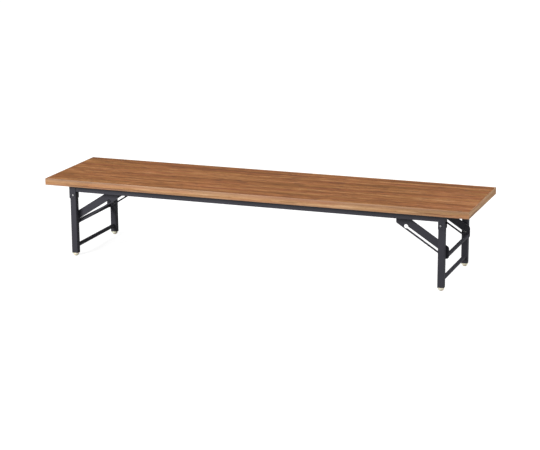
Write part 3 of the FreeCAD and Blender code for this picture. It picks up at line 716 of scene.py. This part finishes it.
for side in ("left", "right"):
    name = f"slot_pins_{side}"
    low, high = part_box(name)
    seat = stay_inner - HEAD_TO_STAY
    profile = (*PIN_HEAD_PROFILE, (PIN_RADIUS, 0.0), (PIN_RADIUS, high.y - seat))
    made = bmesh.new()
    for row in (-1, 1):
        turn = Matrix.Rotation(math.radians(-90 * row), 4, "X")
        middle = ((low.x + high.x) / 2, row * seat, (low.z + high.z) / 2)
        loft(made, profile_rings(profile, RIVET_STEPS), Matrix.Translation(middle) @ turn)
    finish_piece(
        made, f"slot_pin_set_{side}", [frame_enamel], f"pin_pair_{side}", [name]
    )

nylon = moulded_plastic("nylon", NYLON_TONES, NYLON_ROUGHNESS)
dress(nylon, [name for name in nodes if "spacers" in name])


# The studio.
# A white floor that runs on as the background with only a breath of shadow, five soft boxes
# (a key from the front left, one overhead, a low one in front, one at the right and one
# behind), and a camera at the photograph's place.

FLOOR_HALF = 16.0
FLOOR_GLOW_REACH = (1.0, 3.0)
FLOOR_GLOW = (0.84, 1.0)
FLOOR_SHADE = (0.36, 0.36, 0.36, 1.0)
FLOOR_BOUNCE = (0.30, 0.30, 0.30, 1.0)
WORLD_STRENGTH = (0.16, 1.0)
SOFT_BOXES = (
    ("key", (-2.2, -3.9, 2.3), (0.0, 0.0, 0.2), (1.8, 1.6), 232, True),
    ("overhead", (-0.6, 0.3, 3.0), (-0.1, 0.0, 0.3), (2.4, 2.0), 29, True),
    ("front", (-0.3, -3.2, 0.7), (-0.2, 0.0, 0.25), (1.4, 0.8), 28, False),
    ("right", (4.1, -0.3, 1.9), (0.9, 0.0, 0.3), (1.4, 1.2), 104, True),
    ("rear", (1.0, 4.6, 2.4), (0.0, 0.0, 0.2), (2.0, 1.6), 60, False),
)
CAMERA_PLACE = (2.378, -6.367, 1.880)
CAMERA_HEADING = math.radians(20.4)
CAMERA_DIP = math.radians(14.27)
CAMERA_ROLL = -0.005
FOCAL_PIXELS = 1705.1
PHOTO_WIDTH = 540
SENSOR_MM = 36.0

made = bmesh.new()
corners = ((-1, -1), (1, -1), (1, 1), (-1, 1))
made.faces.new([made.verts.new((FLOOR_HALF * x, FLOOR_HALF * y, 0.0)) for x, y in corners])
floor_mesh = bpy.data.meshes.new("floor")
made.to_mesh(floor_mesh)
made.free()
floor = bpy.data.objects.new("floor", floor_mesh)
bpy.context.scene.collection.objects.link(floor)

paper_white = bpy.data.materials.new("floor_white")
paper_white.use_nodes = True
paper_white.cycles.emission_sampling = "NONE"
tree = paper_white.node_tree
tree.nodes.clear()
seen = add_node(tree, "LightPath").outputs["Is Camera Ray"]
away = add_node(tree, "VectorMath", {0: object_place(tree)}, operation="LENGTH")
spread = {
    "Value": away.outputs["Value"],
    "From Min": FLOOR_GLOW_REACH[0],
    "From Max": FLOOR_GLOW_REACH[1],
    "To Min": FLOOR_GLOW[0],
    "To Max": FLOOR_GLOW[1],
}
glow = add_node(tree, "Emission", {"Strength": add_node(tree, "MapRange", spread).outputs[0]})
shade = add_node(tree, "BsdfDiffuse", {"Color": FLOOR_SHADE})
shown = add_node(tree, "AddShader", {0: glow.outputs[0], 1: shade.outputs[0]})
plain = add_node(tree, "BsdfDiffuse", {"Color": FLOOR_BOUNCE})
mix = add_node(tree, "MixShader", {0: seen, 1: plain.outputs[0], 2: shown.outputs[0]})
add_node(tree, "OutputMaterial", {"Surface": mix.outputs[0]})
floor_mesh.materials.append(paper_white)

world = bpy.data.worlds.new("studio")
world.use_nodes = True
bpy.context.scene.world = world
tree = world.node_tree
backdrop = tree.nodes["Background"]
backdrop.inputs["Color"].default_value = (1.0, 1.0, 1.0, 1.0)
seen = add_node(tree, "LightPath").outputs["Is Camera Ray"]
tree.links.new(add_range(tree, seen, *WORLD_STRENGTH), backdrop.inputs["Strength"])

for name, place, target, size, watts, glossy in SOFT_BOXES:
    light = bpy.data.lights.new(name, "AREA")
    light.shape = "RECTANGLE"
    light.size, light.size_y = size
    light.energy = watts
    lamp = bpy.data.objects.new(name, light)
    lamp.visible_glossy = glossy
    aim = (Vector(target) - Vector(place)).to_track_quat("-Z", "Y")
    lamp.matrix_world = Matrix.Translation(place) @ aim.to_matrix().to_4x4()
    bpy.context.scene.collection.objects.link(lamp)

lens = bpy.data.cameras.new("photo_view")
lens.sensor_width = SENSOR_MM
lens.lens = SENSOR_MM * FOCAL_PIXELS / PHOTO_WIDTH
camera = bpy.data.objects.new("photo_view", lens)
bpy.context.scene.collection.objects.link(camera)
camera.matrix_world = (
    Matrix.Translation(CAMERA_PLACE)
    @ Matrix.Rotation(CAMERA_HEADING, 4, "Z")
    @ Matrix.Rotation(math.radians(90) - CAMERA_DIP, 4, "X")
    @ Matrix.Rotation(CAMERA_ROLL, 4, "Z")
)
bpy.context.scene.camera = camera
bpy.context.scene.view_settings.view_transform = "Standard"
